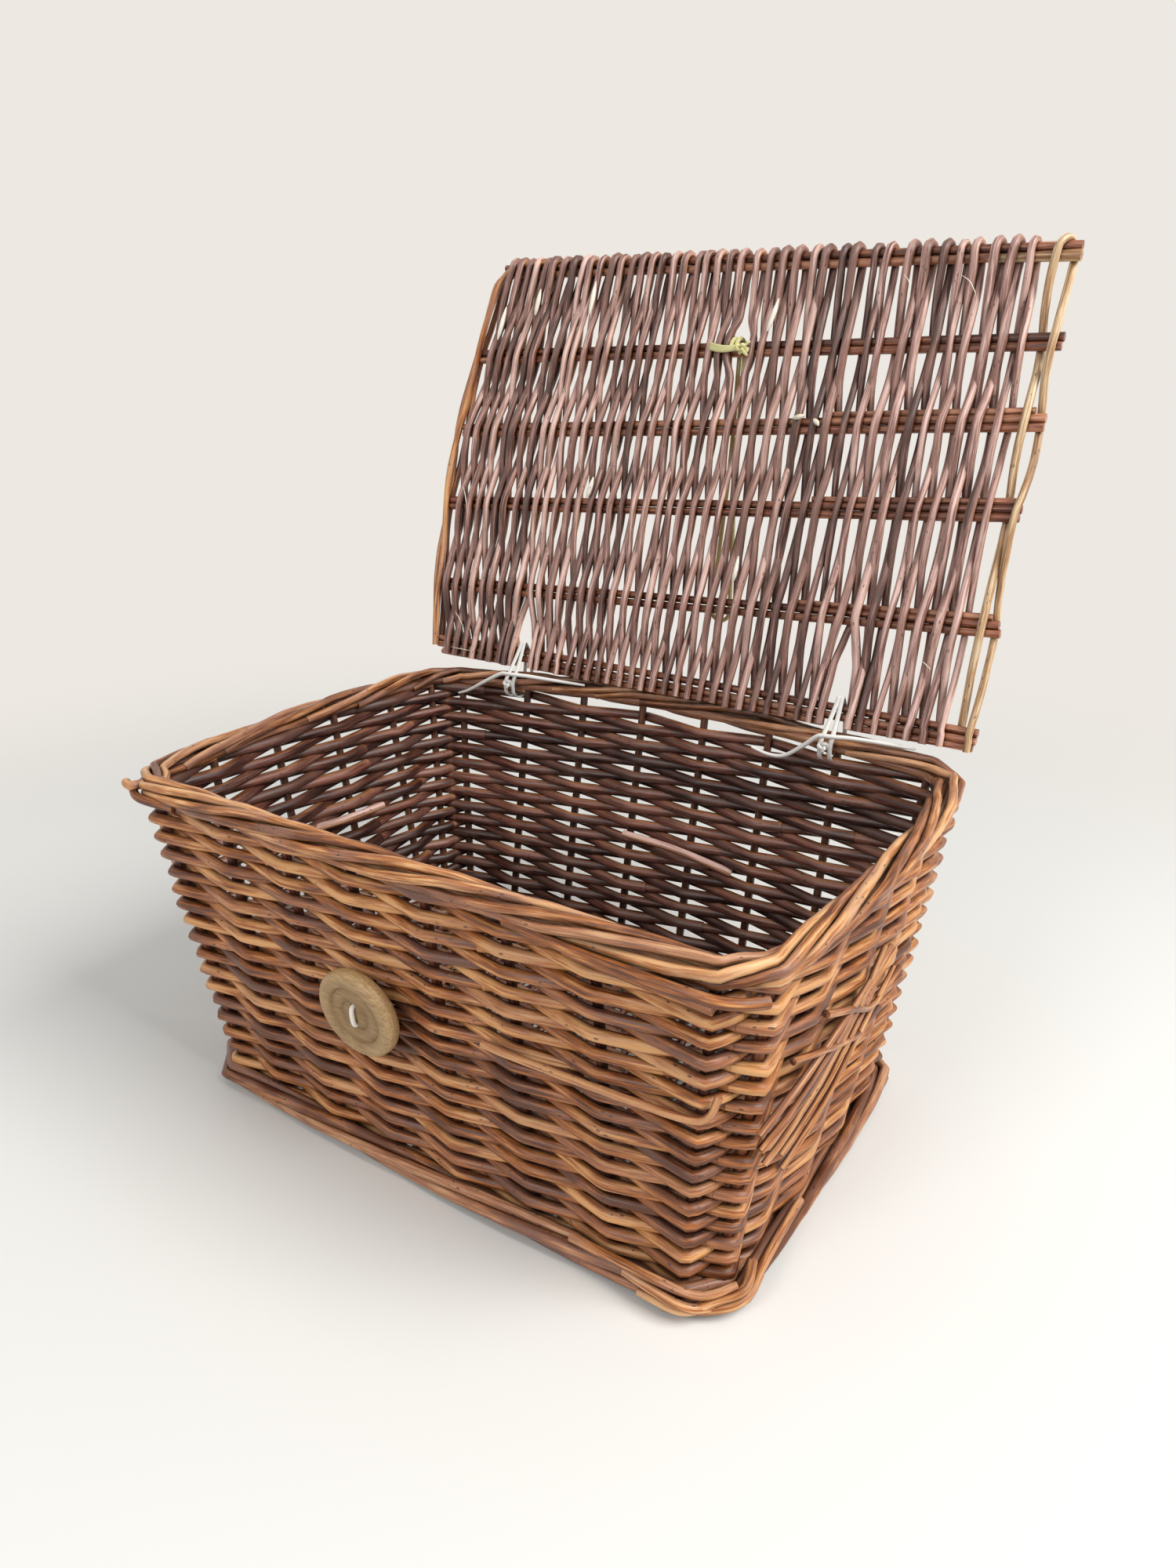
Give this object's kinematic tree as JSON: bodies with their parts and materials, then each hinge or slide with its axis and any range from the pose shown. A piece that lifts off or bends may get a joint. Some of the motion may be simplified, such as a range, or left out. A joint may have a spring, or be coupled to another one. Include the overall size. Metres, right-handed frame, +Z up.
{
  "type": "lidded wicker basket",
  "caption": "Rectangular willow basket with sloping woven walls and a stick-framed lid held open on two strap ties, with a round wooden button and a hanging closing loop.",
  "frame": {"origin": "middle of the base's underside, on the surface that the basket stands on", "axes": "+Z up, +X to the right along the front wall, +Y from the front wall to the hinged back wall"},
  "size_m": [0.4357, 0.3865, 0.5028],
  "materials": {
    "willow_weave": "buff willow, satin",
    "willow_stake": "dark willow, satin",
    "willow_border": "buff willow, satin",
    "willow_lid": "brown willow, satin",
    "willow_stick": "brown willow, satin",
    "white_strap": "white strap and string, matt",
    "turned_wood": "turned pale wood, waxed",
    "raffia_cord": "straw-coloured cord, matt"
  },
  "bodies": {
    "basket": {"base_weave": "willow_weave", "corner_stake_back_end": "willow_stake", "corner_stake_back_start": "willow_stake", "corner_stake_front_end": "willow_stake", "corner_stake_front_start": "willow_stake", "corner_stake_left_end": "willow_stake", "corner_stake_left_start": "willow_stake", "corner_stake_right_end": "willow_stake", "corner_stake_right_start": "willow_stake", "foot_wale_back": "willow_border", "foot_wale_front": "willow_border", "foot_wale_left": "willow_border", "foot_wale_right": "willow_border", "hinge_tails_left": "white_strap", "hinge_tails_right": "white_strap", "hinge_tie_left": "white_strap", "hinge_tie_right": "white_strap", "rim_border_back": "willow_border", "rim_border_front": "willow_border", "rim_border_left": "willow_border", "rim_border_right": "willow_border", "stake_back_1": "willow_stake", "stake_back_2": "willow_stake", "stake_back_3": "willow_stake", "stake_back_4": "willow_stake", "stake_back_5": "willow_stake", "stake_back_6": "willow_stake", "stake_front_1": "willow_stake", "stake_front_2": "willow_stake", "stake_front_3": "willow_stake", "stake_front_4": "willow_stake", "stake_front_5": "willow_stake", "stake_front_6": "willow_stake", "stake_left_1": "willow_stake", "stake_left_2": "willow_stake", "stake_left_3": "willow_stake", "stake_left_4": "willow_stake", "stake_right_1": "willow_stake", "stake_right_2": "willow_stake", "stake_right_3": "willow_stake", "stake_right_4": "willow_stake", "wall_weave_back": "willow_weave", "wall_weave_front": "willow_weave", "wall_weave_left": "willow_weave", "wall_weave_right": "willow_weave"},
    "lid": {"closing_knot": "raffia_cord", "lid_edge_rod": "willow_lid", "lid_sticks_back": "willow_stick", "lid_sticks_fifth": "willow_stick", "lid_sticks_fourth": "willow_stick", "lid_sticks_front": "willow_stick", "lid_sticks_second": "willow_stick", "lid_sticks_third": "willow_stick", "lid_weave_left": "willow_lid", "lid_weave_middle_left": "willow_lid", "lid_weave_middle_right": "willow_lid", "lid_weave_right": "willow_lid"},
    "closing_loop": {"closing_loop": "raffia_cord"},
    "button": {"button": "turned_wood", "button_stitch": "white_strap"}
  },
  "joints": [
    {"name": "lid_hinge", "type": "hinge", "parent": "basket", "child": "lid", "pos_m": [0, 0.147, 0.228], "axis": [1, 0, 0], "range_deg": [0, 107]},
    {"name": "closing_loop_swing", "type": "hinge", "parent": "lid", "child": "closing_loop", "pos_m": [0.005, 0.20873, 0.43909], "axis": [1, 0, 0], "range_deg": [-5, 98]},
    {"name": "button_turn", "type": "hinge", "parent": "basket", "child": "button", "pos_m": [-0.0185, -0.14244, 0.11855], "axis": [0, -0.9932, -0.1161], "range_deg": [-45, 45]}
  ]
}
